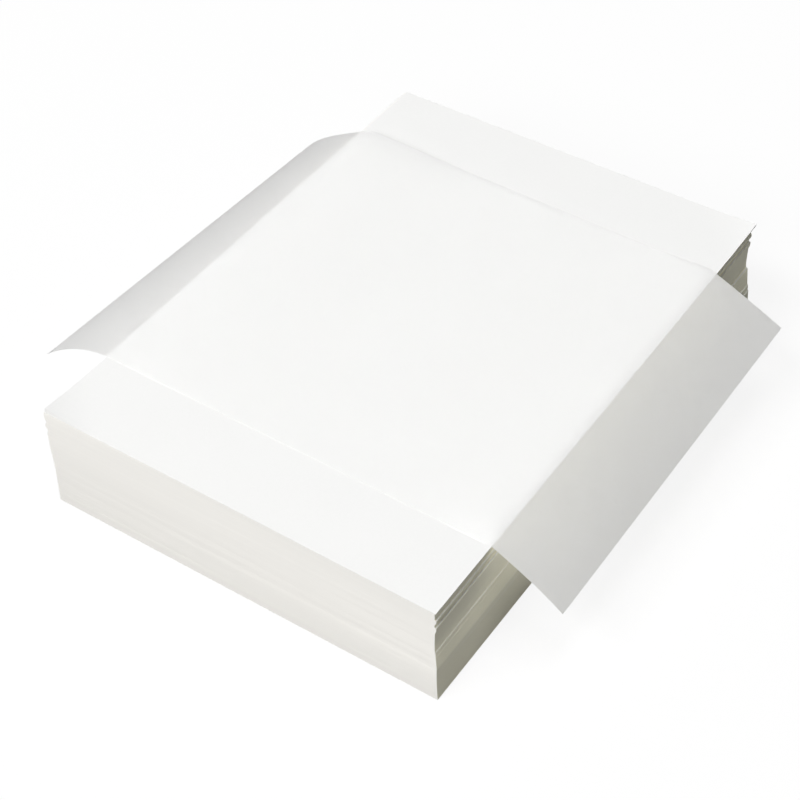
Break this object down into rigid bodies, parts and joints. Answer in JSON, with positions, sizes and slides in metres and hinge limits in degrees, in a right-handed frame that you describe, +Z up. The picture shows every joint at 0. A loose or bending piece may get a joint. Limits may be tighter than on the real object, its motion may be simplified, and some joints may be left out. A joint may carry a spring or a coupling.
{
  "type": "stack of tissue paper",
  "caption": "Loose pile of cut white tissue paper in uneven lifts, with one sheet laid crosswise over the top and hanging over both long sides.",
  "frame": {"origin": "on the ground under the middle of the pile", "axes": "+X to the right along the short side of the pile, +Y to the back along its long side, +Z up"},
  "size_m": [0.2883, 0.3001, 0.0621],
  "materials": {
    "paper_edge": "cut edges of stacked soft white paper, matt",
    "paper_top": "smooth soft white tissue paper, matt",
    "loose_paper": "single thin white tissue sheet, matt, lets some light through"
  },
  "bodies": {
    "root": {"base_lift": "paper_edge", "step_lift": "paper_edge", "lower_lift": "paper_edge", "main_lift": "paper_edge", "ledge_lift": "paper_edge", "recessed_lift": "paper_edge", "upper_lift": "paper_edge", "shoulder_lift": "paper_edge", "top_sheets": "paper_top", "loose_sheet": "loose_paper"}
  },
  "joints": []
}
